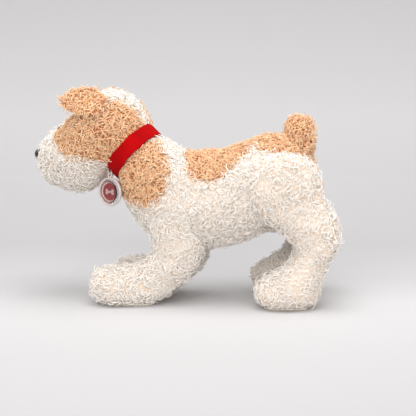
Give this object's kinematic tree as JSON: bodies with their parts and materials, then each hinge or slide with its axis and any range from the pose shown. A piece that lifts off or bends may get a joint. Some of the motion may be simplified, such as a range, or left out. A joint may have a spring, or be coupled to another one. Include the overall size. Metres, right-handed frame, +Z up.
{
  "type": "plush dog",
  "caption": "Standing plush dog in curly cream pile with apricot patches, floppy ears, a stub tail, swinging legs, a turning head, a red collar and a round tag.",
  "frame": {"origin": "middle of the footprint, on the floor that the soles stand on", "axes": "+Z up, the nose points along -X, the dog's left side faces -Y"},
  "size_m": [0.3406, 0.1381, 0.2436],
  "materials": {
    "cream_plush": "curly cream pile",
    "apricot_plush": "curly apricot pile",
    "ear_lining": "short velour",
    "collar_felt": "brushed felt",
    "stuffing": "loose fibre",
    "label_satin": "satin ribbon",
    "black_thread": "stitched thread",
    "black_plastic": "polished",
    "washer_plastic": "moulded",
    "tag_plastic": "moulded rim",
    "tag_card": "printed card",
    "tag_window": "clear, domed",
    "ring_metal": "plated wire"
  },
  "bodies": {
    "trunk": {"chest_filling": "stuffing", "barrel_filling": "stuffing", "rump_filling": "stuffing", "trunk_side_left": "cream_plush", "trunk_side_right": "cream_plush", "saddle_patch": "apricot_plush", "neck_patch_left": "apricot_plush", "neck_patch_right": "apricot_plush", "nape_panel": "cream_plush", "chest_panel": "cream_plush", "belly_panel": "cream_plush", "sewn_label": "label_satin"},
    "tail": {"tail_cover": "apricot_plush", "tail_filling": "stuffing"},
    "neck": {"neck_cover": "cream_plush", "neck_filling": "stuffing"},
    "collar": {"collar_band": "collar_felt", "collar_ring": "ring_metal"},
    "tag": {"tag_back": "tag_plastic", "tag_card": "tag_card", "tag_window": "tag_window"},
    "head": {"head_filling": "stuffing", "head_side_left": "apricot_plush", "head_side_right": "apricot_plush", "head_gusset": "cream_plush", "muzzle_cover": "cream_plush", "chin_panel": "cream_plush", "eye_left": "black_plastic", "eye_right": "black_plastic", "eye_washer_left": "washer_plastic", "eye_washer_right": "washer_plastic", "nose": "black_plastic", "nose_washer": "washer_plastic", "mouth_thread": "black_thread"},
    "ear_left": {"ear_left_outer": "apricot_plush", "ear_left_lining": "ear_lining"},
    "ear_right": {"ear_right_outer": "apricot_plush", "ear_right_lining": "ear_lining"},
    "front_leg_left": {"front_leg_left_cover": "cream_plush", "front_leg_left_filling": "stuffing", "front_leg_left_sole": "cream_plush"},
    "front_leg_right": {"front_leg_right_cover": "cream_plush", "front_leg_right_filling": "stuffing", "front_leg_right_sole": "cream_plush"},
    "hind_leg_left": {"hind_leg_left_cover": "cream_plush", "hind_leg_left_filling": "stuffing", "hind_leg_left_sole": "cream_plush"},
    "hind_leg_right": {"hind_leg_right_cover": "cream_plush", "hind_leg_right_filling": "stuffing", "hind_leg_right_sole": "cream_plush"}
  },
  "joints": [
    {"name": "neck_nod", "type": "hinge", "parent": "trunk", "child": "neck", "pos_m": [-0.05534, 0, 0.17022], "axis": [0.3584, 0.9336, 0], "range_deg": [-10, 10], "stiffness_Nm_per_rad": 1.2},
    {"name": "head_turn", "type": "hinge", "parent": "neck", "child": "head", "pos_m": [-0.05534, 0, 0.17022], "axis": [-0.6938, 0.2663, 0.6691], "range_deg": [-25, 25], "stiffness_Nm_per_rad": 0.6},
    {"name": "collar_turn", "type": "hinge", "parent": "neck", "child": "collar", "pos_m": [-0.05534, 0, 0.17022], "axis": [-0.6938, 0.2663, 0.6691], "range_deg": [-5, 60]},
    {"name": "tag_swing", "type": "hinge", "parent": "collar", "child": "tag", "pos_m": [-0.08263, -0.01603, 0.1483], "axis": [-0.809, 0.5878, 0], "range_deg": [-2, 60]},
    {"name": "ear_left_flap", "type": "hinge", "parent": "head", "child": "ear_left", "pos_m": [-0.08914, -0.0261, 0.22335], "axis": [0.3584, 0.9336, 0], "range_deg": [-6, 40], "stiffness_Nm_per_rad": 0.02},
    {"name": "ear_right_flap", "type": "hinge", "parent": "head", "child": "ear_right", "pos_m": [-0.06299, 0.04201, 0.22335], "axis": [0.3584, 0.9336, 0], "range_deg": [-6, 40], "stiffness_Nm_per_rad": 0.02},
    {"name": "tail_wag", "type": "hinge", "parent": "trunk", "child": "tail", "pos_m": [0.12916, 0, 0.17366], "axis": [1, 0, 0], "range_deg": [-30, 30], "stiffness_Nm_per_rad": 0.08},
    {"name": "front_leg_left_swing", "type": "hinge", "parent": "trunk", "child": "front_leg_left", "pos_m": [-0.00784, -0.027, 0.09], "axis": [0, 1, 0], "range_deg": [-15, 15], "stiffness_Nm_per_rad": 3},
    {"name": "front_leg_right_swing", "type": "hinge", "parent": "trunk", "child": "front_leg_right", "pos_m": [-0.00784, 0.027, 0.09], "axis": [0, 1, 0], "range_deg": [-15, 15], "stiffness_Nm_per_rad": 3},
    {"name": "hind_leg_left_swing", "type": "hinge", "parent": "trunk", "child": "hind_leg_left", "pos_m": [0.11016, -0.038, 0.129], "axis": [0, 1, 0], "range_deg": [-15, 15], "stiffness_Nm_per_rad": 3},
    {"name": "hind_leg_right_swing", "type": "hinge", "parent": "trunk", "child": "hind_leg_right", "pos_m": [0.11016, 0.038, 0.129], "axis": [0, 1, 0], "range_deg": [-15, 15], "stiffness_Nm_per_rad": 3}
  ]
}
